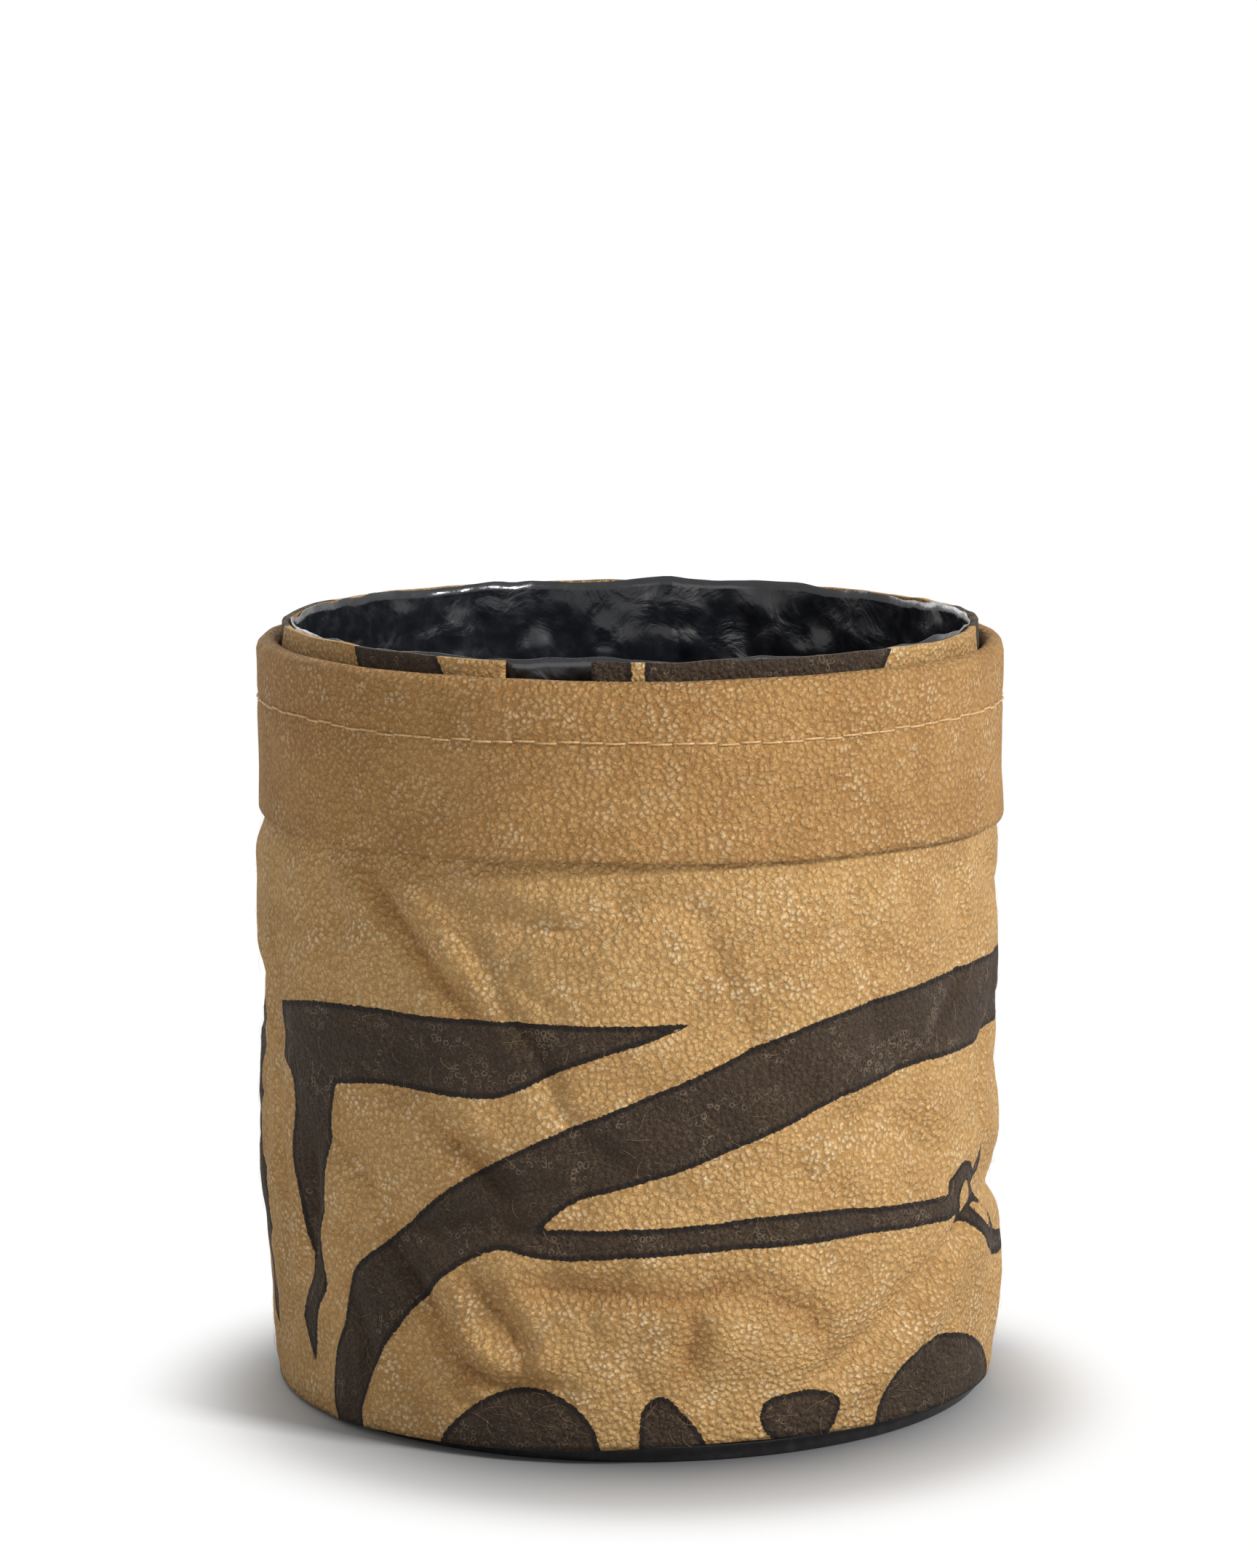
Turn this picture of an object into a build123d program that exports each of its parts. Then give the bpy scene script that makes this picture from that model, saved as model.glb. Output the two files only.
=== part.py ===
"""Small round fabric grow bag: a sewn felt bag with a banded rim, a film liner and a shallow saucer.

Millimetres. The origin is on the bag's axis at the level of the saucer's underside. +Z is up and
-Y is the front.
"""

import os
from math import pi

from build123d import *

# Felt bag
bag_radius = 75.4  # outside of the wall, below the band
bag_height = 149.4  # underside of the base to the crest of the band
felt = 1.4  # thickness of one ply
skirt = 3.1  # the wall's cut edge hangs this far below the base, around the saucer
base_turn_up = 10.0  # height of the base's turned-up edge, underside included
base_bend = 2.4  # bend of the base's middle line where it turns up

# Band folded over the rim
band_depth = 35.0  # outer leg, crest to lower edge
band_tuck = 19.0  # inner leg, crest to lower edge
band_stand = 0.6  # how far the band stands out from the wall below it
neck_height = 8.0  # height over which the wall draws in to pass under the band

# Printed facing inside the rim
facing_height = 26.0
facing_rise = 3.3  # how far its top edge stands above the crest
facing_start = -96.0  # degrees, one cut end, beside the middle of the front
facing_gap = 14.0  # degrees left open between its two cut ends

# Side seam
seam_angle = 25.0  # degrees, towards the back on the +X side
lap_width = 12.0  # overlap of the wall panel's two ends

# Thread
thread_radius = 0.28
stitch_pitch = 4.4
stitch_gap = 0.25  # clear space between one stitch and the next
rim_stitch_drop = 11.8  # crest to the line of stitches
base_stitch_drop = 3.0  # top of the base's turned-up edge to the blind stitches

# Film liner
film = 0.4
liner_rise = 3.9  # how far the film stands above the crest
liner_corner = 5.0
drain_hole_radius = 2.5
drain_circle_radius = 42.0
drain_holes = 6

# Saucer
saucer_floor = 1.2
saucer_wall = 1.3
saucer_height = 3.6  # the lip and the ribs end at one height
saucer_draft = 0.5  # how far the wall leans out from bottom to top
saucer_offset = 1.2  # the bag stands this far off the saucer's centre, which lies towards +X
rib_width = 1.8
rib_radii = (18.0, 36.0, 54.0)

# Clearances
ply_gap = 0.2  # between two plies that are sewn together
loose_gap = 0.3  # between two pieces that lift apart

# Worked out from the sizes above
base_bottom = saucer_height + loose_gap
crest = base_bottom + bag_height
wall_inside = bag_radius - felt
base_outside = wall_inside - ply_gap
saucer_outside = wall_inside - loose_gap - saucer_offset
band_outside = bag_radius + band_stand
neck_outside = band_outside - felt - ply_gap
tuck_outside = neck_outside - felt - ply_gap
facing_outside = tuck_outside - felt - ply_gap
liner_outside = facing_outside - felt - thread_radius - loose_gap
liner_bottom = base_bottom + felt + thread_radius + loose_gap
band_bottom = crest - band_depth
fold_radius = felt + ply_gap  # middle line of the band where it goes over the rim
tuck_bottom = crest - band_tuck
facing_bottom = crest + facing_rise - facing_height
rim_stitch_height = crest - rim_stitch_drop
base_stitch_height = base_bottom + base_turn_up - base_stitch_drop


def ply(middle):
    """Felt of one thickness about a middle line in the XZ plane, turned about Z."""
    section = make_face(offset(middle, amount=felt / 2, kind=Kind.ARC).edges())
    return revolve(section, Axis.Z)


def cup(radius, bottom, top, corner):
    """Solid cylinder with a rounded lower edge."""
    blank = Cylinder(radius, top - bottom, align=(Align.CENTER, Align.CENTER, Align.MIN))
    return Pos(0, 0, bottom) * fillet(blank.edges().sort_by(Axis.Z)[0], corner)


def make_saucer():
    """Shallow moulded dish with a rounded lip, and ring ribs that carry the bag clear of the water."""
    lip_inside = saucer_outside - saucer_wall
    profile = Polyline(
        (0, 0, 0),
        (saucer_outside - saucer_draft, 0, 0),
        (saucer_outside, 0, saucer_height),
        (lip_inside, 0, saucer_height),
        (lip_inside - saucer_draft, 0, saucer_floor),
        (0, 0, saucer_floor),
        close=True,
    )
    rib_height = saucer_height - saucer_floor
    tray = revolve(make_face(profile.edges()), Axis.Z)
    lip = tray.edges().filter_by(GeomType.CIRCLE).group_by(Axis.Z)[-1]
    tray = fillet(lip, saucer_wall * 0.42)
    foot = tray.edges().filter_by(GeomType.CIRCLE).group_by(Axis.Z)[0]
    tray = fillet(foot, saucer_floor * 0.4)
    for radius in rib_radii:
        ring = Cylinder(radius + rib_width / 2, rib_height) - Cylinder(radius - rib_width / 2, rib_height)
        tray += Pos(0, 0, saucer_floor + rib_height / 2) * ring
    return Pos(saucer_offset, 0, 0) * tray


def make_wall_panel():
    """Tube of felt with a cut lower edge and its two ends lapped at the side seam."""
    middle = felt / 2
    tube = ply(
        FilletPolyline(
            (bag_radius - middle, 0, base_bottom - skirt + middle),
            (bag_radius - middle, 0, band_bottom - neck_height),
            (neck_outside - middle, 0, band_bottom),
            (neck_outside - middle, 0, crest - fold_radius - middle),
            radius=neck_height,
        )
    )
    lap_bottom = base_bottom + base_turn_up + felt
    lap_top = band_bottom - neck_height - felt
    lap_height = lap_top - lap_bottom
    blank = Cylinder(wall_inside + felt / 2, lap_height) - Cylinder(wall_inside - felt, lap_height)
    wedge = Box(2 * bag_radius, lap_width, lap_height, align=(Align.MIN, Align.CENTER, Align.CENTER))
    lap = Rot(0, 0, seam_angle) * (blank & wedge)
    return tube + Pos(0, 0, (lap_bottom + lap_top) / 2) * lap


def make_base_disc():
    """Round felt base with its edge turned up inside the wall."""
    middle = felt / 2
    return ply(
        FilletPolyline(
            (base_outside - 2 * base_turn_up, 0, base_bottom + middle),
            (base_outside - middle, 0, base_bottom + middle),
            (base_outside - middle, 0, base_bottom + base_turn_up - middle),
            radius=base_bend,
        )
    ) + Pos(0, 0, base_bottom + middle) * Cylinder(base_outside - 2 * base_turn_up, felt)


def make_band():
    """Plain felt band folded over the rim, its long leg outside."""
    outer = band_outside - felt / 2
    inner = tuck_outside - felt / 2
    spring = crest - felt / 2 - fold_radius
    fold = ThreePointArc(
        (outer, 0, spring), (outer - fold_radius, 0, spring + fold_radius), (inner, 0, spring)
    )
    long_leg = Line((outer, 0, band_bottom + felt / 2), (outer, 0, spring))
    short_leg = Line((inner, 0, spring), (inner, 0, tuck_bottom + felt / 2))
    return ply(Curve() + [long_leg, fold, short_leg])


def make_facing():
    """Strip of printed felt inside the rim. Its cut ends leave a gap at the front."""
    middle = facing_outside - felt / 2
    section = Plane.XZ * Pos(middle, facing_bottom + facing_height / 2) * Rectangle(felt, facing_height)
    return Rot(0, 0, facing_start) * revolve(section, Axis.Z, revolution_arc=360 - facing_gap)


def make_liner():
    """Open bag of thin film with drain holes in its floor."""
    top = crest + liner_rise
    outer = cup(liner_outside, liner_bottom, top, liner_corner)
    inner = cup(liner_outside - film, liner_bottom + film, top + film, liner_corner - film)
    liner = outer - inner
    hole = Cylinder(drain_hole_radius, 6 * film)
    for spot in PolarLocations(drain_circle_radius, drain_holes):
        liner -= Pos(0, 0, liner_bottom) * spot * hole
    return liner - Pos(0, 0, liner_bottom) * hole


def stitch(pitch, depth):
    """One stitch along X: a run of thread on the face, one through the felt and one behind it."""
    reach = (pitch - stitch_gap) / 2 - thread_radius
    bend = 2 * thread_radius
    path = FilletPolyline(
        (reach, 0, 0),
        (-reach, 0, 0),
        (-reach, 0, -depth),
        (reach, 0, -depth),
        radius=bend,
    )
    return sweep(Plane(path @ 0, z_dir=path % 0) * Circle(thread_radius), path)


def stand_on_wall(piece, radius, angle, height, along_rim):
    """Put a stitch on a wall: its outer run lies at this radius, along the rim or upright."""
    turned = Rot(0, 0, 0 if along_rim else 90) * piece
    return Rot(0, 0, angle) * Pos(radius, 0, height) * Rot(0, 90, 0) * Rot(0, 0, 90) * turned


def rim_depth(angle):
    """Thickness that a stitch near the rim goes through. There is no facing in its gap."""
    into_gap = (facing_start - angle) % 360
    behind = tuck_outside - felt if into_gap < facing_gap else facing_outside - felt
    return band_outside - behind


def make_rim_stitches():
    """Line of stitches all round, through the band, the wall and the facing."""
    count = round(2 * pi * band_outside / stitch_pitch)
    step = 360 / count
    pitch = 2 * pi * (facing_outside - felt) / count
    places = [seam_angle + step * index for index in range(count)]
    return [
        stand_on_wall(stitch(pitch, rim_depth(angle)), band_outside, angle, rim_stitch_height, True)
        for angle in places
    ]


def upright_row(low, high, radius, depth):
    """Upright stitches at the side seam, as many as fit between two heights."""
    count = int((high - low) // stitch_pitch)
    first = (low + high - (count - 1) * stitch_pitch) / 2
    one = stitch(stitch_pitch, depth)
    return [
        stand_on_wall(one, radius, seam_angle, first + index * stitch_pitch, False)
        for index in range(count)
    ]


def make_rim_seam_stitches():
    """Upright stitches that close the band and the facing, clear of the line round the rim."""
    clear = 3 * thread_radius
    through_all = rim_depth(seam_angle)
    through_wall = band_outside - (neck_outside - felt)
    above = upright_row(rim_stitch_height + clear, crest - fold_radius - clear, band_outside, through_all)
    below = upright_row(tuck_bottom + clear, rim_stitch_height - clear, band_outside, through_all)
    lowest = upright_row(band_bottom + felt, facing_bottom - clear, band_outside, through_wall)
    return above + below + lowest


def make_side_seam_stitches():
    """Upright line of stitches through the lapped ends of the wall panel."""
    low = base_bottom + base_turn_up + 2 * felt
    high = band_bottom - neck_height - 2 * felt
    return upright_row(low, high, bag_radius, 2 * felt)


def make_base_stitches():
    """Blind stitches through the base's turned-up edge and half of the wall's felt."""
    outer_run = wall_inside + felt / 2
    inner_run = base_outside - felt
    count = round(2 * pi * inner_run / stitch_pitch)
    one = stitch(2 * pi * inner_run / count, outer_run - inner_run)
    return [
        stand_on_wall(one, outer_run, 360 / count * index, base_stitch_height, True)
        for index in range(count)
    ]


parts = {
    "saucer": make_saucer(),
    "wall_panel": make_wall_panel(),
    "base_disc": make_base_disc(),
    "rim_band": make_band(),
    "rim_facing": make_facing(),
    "film_liner": make_liner(),
    "rim_stitches": Compound(make_rim_stitches()),
    "rim_seam_stitches": Compound(make_rim_seam_stitches()),
    "side_seam_stitches": Compound(make_side_seam_stitches()),
    "base_stitches": Compound(make_base_stitches()),
}

os.makedirs("parts", exist_ok=True)
for name, shape in parts.items():
    export_step(shape, f"parts/{name}.step")
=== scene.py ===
# %% [markdown]
# A small felt grow bag
#
# The object is a round bag sewn from printed felt, about 15 cm across. A plain band is folded
# over its rim, a black film bag hangs inside it, and it stands on a shallow dish of black
# plastic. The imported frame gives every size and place. This lesson cuts each cloth flat, as its
# maker does, rolls it to its place, and then lets it slump.

# %% Load the frame
import random
from math import atan2, cos, hypot, pi, radians, sin

import bmesh
import bpy
import numpy as np
from mathutils import Matrix, Vector, noise


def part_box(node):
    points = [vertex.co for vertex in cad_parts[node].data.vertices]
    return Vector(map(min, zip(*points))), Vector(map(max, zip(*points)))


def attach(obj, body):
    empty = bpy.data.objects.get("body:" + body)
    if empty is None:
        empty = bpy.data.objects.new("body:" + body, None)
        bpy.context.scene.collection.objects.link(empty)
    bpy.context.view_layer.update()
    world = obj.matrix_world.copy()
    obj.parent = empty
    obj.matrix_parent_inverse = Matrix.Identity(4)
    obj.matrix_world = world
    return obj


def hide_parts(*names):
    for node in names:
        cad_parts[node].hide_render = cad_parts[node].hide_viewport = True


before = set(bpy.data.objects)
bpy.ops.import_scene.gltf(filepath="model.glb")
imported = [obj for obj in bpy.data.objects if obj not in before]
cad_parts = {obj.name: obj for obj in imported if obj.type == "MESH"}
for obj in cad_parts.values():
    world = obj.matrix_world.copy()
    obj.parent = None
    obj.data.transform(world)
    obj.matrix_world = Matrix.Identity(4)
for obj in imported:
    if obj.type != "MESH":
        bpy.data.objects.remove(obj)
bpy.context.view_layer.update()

MM = 0.001


def box_mm(name):
    """A CAD node's lowest and highest corners in millimetres."""
    low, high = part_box(name)
    return [value / MM for value in low], [value / MM for value in high]


# %% [markdown]
# Sizes
#
# Everything below is worked out in millimetres from the frame's boxes: the wall's radius, the
# band's lower edge and crest, and so on. Only the mesh vertices are turned to metres, at the very
# end.

# %% Sizes from the frame
wall_low, wall_high = box_mm("wall_panel")
band_low, band_high = box_mm("rim_band")
facing_low, facing_high = box_mm("rim_facing")
liner_low, liner_high = box_mm("film_liner")
saucer_low, saucer_high = box_mm("saucer")
base_low, base_high = box_mm("base_disc")
seam_low, seam_high = box_mm("side_seam_stitches")
base_thread_low, base_thread_high = box_mm("base_stitches")
rim_thread_low, rim_thread_high = box_mm("rim_stitches")

FELT = 1.4  # thickness of one ply
PLY_GAP = 0.2  # between two plies that are sewn together
WALL_R = wall_high[0]
BAND_R = band_high[0]
CREST = band_high[2]
BAND_BOTTOM = band_low[2]
FACING_R = facing_high[0]
LINER_R = liner_high[0]
THREAD_R = 0.24
RIM_THREAD_Z = (rim_thread_low[2] + rim_thread_high[2]) / 2
BASE_THREAD_Z = (base_thread_low[2] + base_thread_high[2]) / 2
DISH_R = -saucer_low[0]  # to the dish's nearest edge, as it is off the bag's axis
SEAM_ANGLE = atan2(seam_low[1] + seam_high[1], seam_low[0] + seam_high[0])
ROUND = 2 * pi * WALL_R
SEAM_U = (SEAM_ANGLE + pi / 2) * WALL_R
LAP = 12.0  # how far the wall panel's two ends lap at the side seam
STITCH_PITCH = 4.4
print(f"wall radius {WALL_R:.1f}, crest {CREST:.1f}, seam at {SEAM_U:.1f} mm round from the front")


# %% [markdown]
# Helpers for colour and nodes
#
# Colours are written as the hex values that a paint chip would give, and one function turns them
# into the linear numbers that a shader needs. One function adds a shader node with its settings
# and links.

# %% Colour and node helpers
def linear(hex_colour):
    """Linear RGBA of an sRGB hex colour."""
    values = [int(hex_colour[place : place + 2], 16) / 255 for place in (1, 3, 5)]
    return [v / 12.92 if v <= 0.04045 else ((v + 0.055) / 1.055) ** 2.4 for v in values] + [1.0]


def add(tree, kind, inputs=None, output=0, **settings):
    """Add a node with its settings and inputs, and give back one of its outputs."""
    made = tree.nodes.new(kind)
    for name, value in settings.items():
        setattr(made, name, value)
    for socket, value in (inputs or {}).items():
        if isinstance(value, bpy.types.NodeSocket):
            tree.links.new(value, made.inputs[socket])
        else:
            made.inputs[socket].default_value = value
    return made.outputs[output] if made.outputs else made


def new_material(name):
    """An empty node material with its tree."""
    material = bpy.data.materials.new(name)
    material.use_nodes = True
    material.node_tree.nodes.clear()
    return material, material.node_tree


# %% [markdown]
# Felt
#
# The bag is needled polyester felt. Hot rolls have pressed its face into soft pebbles about 1.5
# mm across, and curled fibres run over them. The cloth is tan, with painted light that makes the
# pebble tops paler and painted shade that makes the gaps between them browner. In patches where
# the rolls pressed hardest the pebble tops are glossier, and a painted sheen pales them. The
# pebbles are a Voronoi pattern. Each fibre is a thin line where a swirling noise passes its
# middle value. Fibres are really 0.02 mm thick, so they are drawn five times as coarse, or they
# would not show.
#
# The print is dark ink that soaks in, with a wetter rim. The mesh holds the distance in
# millimetres inside each printed shape, so the edge stays crisp at any size, and the shader only
# roughens it. The mesh holds the distance from the nearest crease in the same way.

# %% Felt patterns
FELT_NOISES = (
    # name, size in mm, detail, distortion
    ("curl", 1.5, 2.0, 2.2),
    ("hair", 2.3, 2.0, 3.0),
    ("fuzz", 0.42, 3.0, 0.8),
    ("patch", 8.0, 2.0, 0.4),
    ("blotch", 17.0, 5.0, 0.3),
    ("ragged", 0.8, 3.0, 0.5),
)
PEBBLE = 1.25  # mm from one pebble to the next
RING = 1.35  # the same for the pale rings round pebbles in the ink, partly worn ink and partly a painted glint
WARP = 1.9  # size in mm of the noise that bends the pebbles out of line
WARP_PUSH = 1.1  # how far it moves them, in mm
FELT_RELIEF = 0.50  # height of the felt's face from gap to pebble, in mm


def felt_patterns(tree):
    """The felt's noises and pebbles by name, read on the flat cloth."""
    place = add(tree, "ShaderNodeTexCoord", output="UV")
    found = {}
    for name, size, detail, distortion in FELT_NOISES:
        sockets = {"Vector": place, "Scale": 1 / (size * MM), "Detail": detail}
        sockets["Distortion"] = distortion
        found[name] = add(tree, "ShaderNodeTexNoise", sockets)
    sockets = {"Vector": place, "Scale": 1 / (WARP * MM)}
    warp = add(tree, "ShaderNodeTexNoise", sockets, output="Color")
    push = add(tree, "ShaderNodeVectorMath", {0: warp, "Scale": WARP_PUSH * MM}, operation="SCALE")
    bent = add(tree, "ShaderNodeVectorMath", {0: place, 1: push}, operation="ADD")
    for name, size in (("pebble", PEBBLE), ("ring", RING)):
        sockets = {"Vector": bent, "Scale": 1 / (size * MM)}
        found[name] = add(tree, "ShaderNodeTexVoronoi", sockets, voronoi_dimensions="2D")
        cell = add(tree, "ShaderNodeTexVoronoi", sockets, "Color", voronoi_dimensions="2D")
        found[name + " cell"] = add(tree, "ShaderNodeSeparateColor", {0: cell})
    for name in ("curl", "hair"):
        middle = add(tree, "ShaderNodeMath", {0: found[name], 1: 0.5}, operation="SUBTRACT")
        found[name] = add(tree, "ShaderNodeMath", {0: middle}, operation="ABSOLUTE")
    return found


def felt_masks(tree, found, limits):
    """Smooth masks from 0 to 1. limits are (name, pattern, value at 0, value at 1, strength)."""
    masks = {}
    for name, pattern, low, high, strength in limits:
        sockets = {0: found[pattern], 1: low, 2: high, 4: strength}
        masks[name] = add(tree, "ShaderNodeMapRange", sockets, interpolation_type="SMOOTHSTEP")
    return masks


# %% Felt shader
CLOTH_LIMITS = (
    # name, pattern, value at 0, value at 1, strength
    # gap and top are painted: shade in the gaps between pebbles and light on their tops
    ("gap", "pebble", 0.40, 0.70, 0.50),
    ("top", "pebble", 0.46, 0.10, 0.45),
    ("odd", "pebble cell", 0.20, 0.95, 0.30),
    ("dark hair", "curl", 0.036, 0.004, 0.48),
    ("pale hair", "hair", 0.030, 0.004, 0.45),
    ("fuzz", "fuzz", 0.42, 0.66, 0.45),
    ("blotch", "blotch", 0.42, 0.62, 0.60),
    ("patch", "patch", 0.48, 0.70, 0.90),
    ("rise", "pebble", 0.72, 0.08, 1.0),
)
INK_LIMITS = (
    # name, pattern, value at 0, value at 1, strength
    ("grain", "fuzz", 0.44, 0.68, 0.45),
    # ink gap is painted shade in the gaps between the pebbles of the print
    ("ink gap", "pebble", 0.36, 0.66, 0.45),
    ("ink hair", "hair", 0.030, 0.004, 0.30),
    ("ink blotch", "blotch", 0.40, 0.62, 0.6),
    # ring patch and ring cell pick where the rings show: partly worn ink, partly a painted glint
    ("ring patch", "patch", 0.45, 0.66, 0.42),
    ("ring cell", "ring cell", 0.35, 0.60, 1.0),
)


def felt_material(name, printed):
    """Needled polyester felt, with ink wherever the mesh's ink distance is above zero."""
    material, tree = new_material(name)
    found = felt_patterns(tree)
    masks = felt_masks(tree, found, CLOTH_LIMITS)
    # painted sheen: a whitish colour on the pebble tops in patches, which are also glossier
    painted_sheen = add(tree, "ShaderNodeMath", {0: masks["patch"], 1: masks["top"]}, operation="MULTIPLY")
    body = linear("#C59B61")
    for mask, colour in (
        (masks["odd"], "#B2884E"),
        (masks["blotch"], "#A47943"),
        # painted light on the pebble tops and painted shade in the gaps between them
        (masks["top"], "#DAB880"),
        (masks["gap"], "#9D743F"),
        (masks["fuzz"], "#B18853"),
        (masks["dark hair"], "#81603A"),
        (masks["pale hair"], "#E6CB9B"),
        (painted_sheen, "#F0E2C2"),
    ):
        sockets = {0: mask, 6: body, 7: linear(colour)}
        body = add(tree, "ShaderNodeMix", sockets, 2, data_type="RGBA")
    sockets = {0: masks["fuzz"], 1: 0.5, 2: masks["rise"]}
    height = add(tree, "ShaderNodeMath", sockets, operation="MULTIPLY_ADD")
    for hair in ("dark hair", "pale hair"):
        sockets = {0: masks[hair], 1: 0.3, 2: height}
        height = add(tree, "ShaderNodeMath", sockets, operation="MULTIPLY_ADD")
    rough = add(tree, "ShaderNodeMapRange", {0: painted_sheen, 3: 0.80, 4: 0.45})
    if not printed:
        # painted shade: the plain cloth is darkened a little, deeper than the printed one
        sockets = {0: 1.0, 6: body, 7: linear("#E8E0D6")}
        body = add(tree, "ShaderNodeMix", sockets, 2, data_type="RGBA", blend_type="MULTIPLY")
    else:
        ink = add(tree, "ShaderNodeAttribute", output="Fac", attribute_name="ink")
        ragged = add(tree, "ShaderNodeMath", {0: found["ragged"], 1: 0.5}, operation="SUBTRACT")
        sockets = {0: ragged, 1: 0.9, 2: ink}
        found["edge"] = add(tree, "ShaderNodeMath", sockets, operation="MULTIPLY_ADD")
        sockets = {0: found["ring"], 1: 0.34}
        off_ring = add(tree, "ShaderNodeMath", sockets, operation="SUBTRACT")
        found["ring"] = add(tree, "ShaderNodeMath", {0: off_ring}, operation="ABSOLUTE")
        ink_masks = felt_masks(tree, found, INK_LIMITS + (
            ("inked", "edge", -0.10, 0.10, 1.0),
            ("rim", "edge", 1.5, 0.7, 0.9),
            ("ring", "ring", 0.12, 0.02, 1.0),
        ))
        ring = ink_masks["ring"]
        for mask in ("ring patch", "ring cell"):
            ring = add(tree, "ShaderNodeMath", {0: ring, 1: ink_masks[mask]}, operation="MULTIPLY")
        dye = linear("#382A1E")
        for mask, colour in (
            (ink_masks["ink blotch"], "#2E231B"),
            # painted shade in the gaps between the inked pebbles
            (ink_masks["ink gap"], "#251C16"),
            (ink_masks["grain"], "#574633"),
            (ink_masks["ink hair"], "#857055"),
            # pale rings: partly worn ink, partly a painted glint
            (ring, "#A08F7A"),
            (ink_masks["rim"], "#1C1410"),
        ):
            sockets = {0: mask, 6: dye, 7: linear(colour)}
            dye = add(tree, "ShaderNodeMix", sockets, 2, data_type="RGBA")
        sockets = {0: ink_masks["inked"], 6: body, 7: dye}
        body = add(tree, "ShaderNodeMix", sockets, 2, data_type="RGBA")
        # painted shade darkens each crease along its line, and the felt for some millimetres beside
        # it is darker, partly stain and partly painted shade
        fold = add(tree, "ShaderNodeAttribute", output="Fac", attribute_name="fold")
        sockets = {0: fold, 1: 1.2, 2: 0.0, 4: 0.30}
        line = add(tree, "ShaderNodeMapRange", sockets, interpolation_type="SMOOTHSTEP")
        crease_stain_and_shade = add(tree, "ShaderNodeMapRange", {0: fold, 1: 5.0, 2: 0.5, 4: 0.45})
        for mask, colour in ((crease_stain_and_shade, "#C9B08E"), (line, "#7A5630")):
            sockets = {0: mask, 6: body, 7: linear(colour)}
            body = add(tree, "ShaderNodeMix", sockets, 2, data_type="RGBA", blend_type="MULTIPLY")
        sockets = {0: line, 1: -2.0, 2: height}
        height = add(tree, "ShaderNodeMath", sockets, operation="MULTIPLY_ADD")
    sockets = {"Height": height, "Strength": 1.0, "Distance": FELT_RELIEF * MM}
    bump = add(tree, "ShaderNodeBump", sockets)
    sockets = {
        "Base Color": body, "Roughness": rough, "Normal": bump,
        "Specular IOR Level": 0.20, "Sheen Weight": 0.02,
    }
    shader = add(tree, "ShaderNodeBsdfPrincipled", sockets)
    add(tree, "ShaderNodeOutputMaterial", {"Surface": shader})
    return material


printed_felt = felt_material("printed_polyester_felt", True)
plain_felt = felt_material("plain_polyester_felt", False)


# %% [markdown]
# Plastics and thread
#
# The dish is injection-moulded polypropylene: black, glossy, with the slight ripple of a moulded
# face and dull scuffs. The liner is blown polyethylene film: thin, black and crinkled, so its
# bump is long creases. The sewing thread is spun polyester, a shade lighter than the felt, and
# its twist is drawn a little coarse so that it shows. All three are one colour with a few marks,
# so one table makes them.

# %% Plastic and thread shaders
FINISHES = {
    # colour, marks' colour, marks in mm, smoothest, roughest, ripple in mm, its bump in mm, IOR
    "moulded_polypropylene": ("#1D1B1D", "#262427", 2.5, 0.17, 0.30, 12.0, 0.05, 1.49),
    "blown_polyethylene_film": ("#15161A", "#1E1F24", 3.0, 0.18, 0.32, 8.0, 0.45, 1.51),
    "spun_polyester_thread": ("#A98455", "#D8BB8A", 0.45, 0.55, 0.70, 0.45, 0.10, 1.5),
}


def marked_material(name):
    """Plastic or thread: one colour with scattered marks, duller there, and a ripple."""
    colour, marked, mark_size, smooth, dull, ripple_size, ripple, ior = FINISHES[name]
    material, tree = new_material(name)
    place = add(tree, "ShaderNodeTexCoord", output="Object")
    sockets = {"Vector": place, "Scale": 1 / (mark_size * MM), "Detail": 5.0}
    marks = add(tree, "ShaderNodeTexNoise", sockets)
    sockets = {"Vector": place, "Scale": 1 / (ripple_size * MM), "Detail": 4.0}
    sockets["Distortion"] = 1.0
    waves = add(tree, "ShaderNodeTexNoise", sockets)
    shade = add(tree, "ShaderNodeMapRange", {0: marks, 1: 0.45, 2: 0.75})
    sockets = {0: shade, 6: linear(colour), 7: linear(marked)}
    body = add(tree, "ShaderNodeMix", sockets, 2, data_type="RGBA")
    rough = add(tree, "ShaderNodeMapRange", {0: marks, 1: 0.40, 2: 0.75, 3: smooth, 4: dull})
    bump = add(tree, "ShaderNodeBump", {"Height": waves, "Strength": 0.8, "Distance": ripple * MM})
    sockets = {"Base Color": body, "Roughness": rough, "Normal": bump, "IOR": ior}
    shader = add(tree, "ShaderNodeBsdfPrincipled", sockets)
    add(tree, "ShaderNodeOutputMaterial", {"Surface": shader})
    return material


dish_plastic = marked_material("moulded_polypropylene")
liner_film = marked_material("blown_polyethylene_film")
thread = marked_material("spun_polyester_thread")


# %% [markdown]
# Cutting and rolling cloth
#
# Each felt piece starts as a flat grid of its cut size, so the grid can carry the flat place of
# every point. Rolling is then a plain rule: the distance round the bag gives the angle, and the
# height gives the radius. The same rule adds the slump.

# %% Cut and roll
def cut_cloth(width, length, step):
    """A flat grid with its corner at the origin, and each vertex's place on it in millimetres."""
    cloth = bmesh.new()
    across, down = max(1, round(width / step)), max(1, round(length / step))
    bmesh.ops.create_grid(cloth, x_segments=across, y_segments=down, size=0.5)
    flat = np.array([[(v.co.x + 0.5) * width, (v.co.y + 0.5) * length] for v in cloth.verts])
    keep_flat(cloth, flat)
    return cloth, flat


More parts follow.
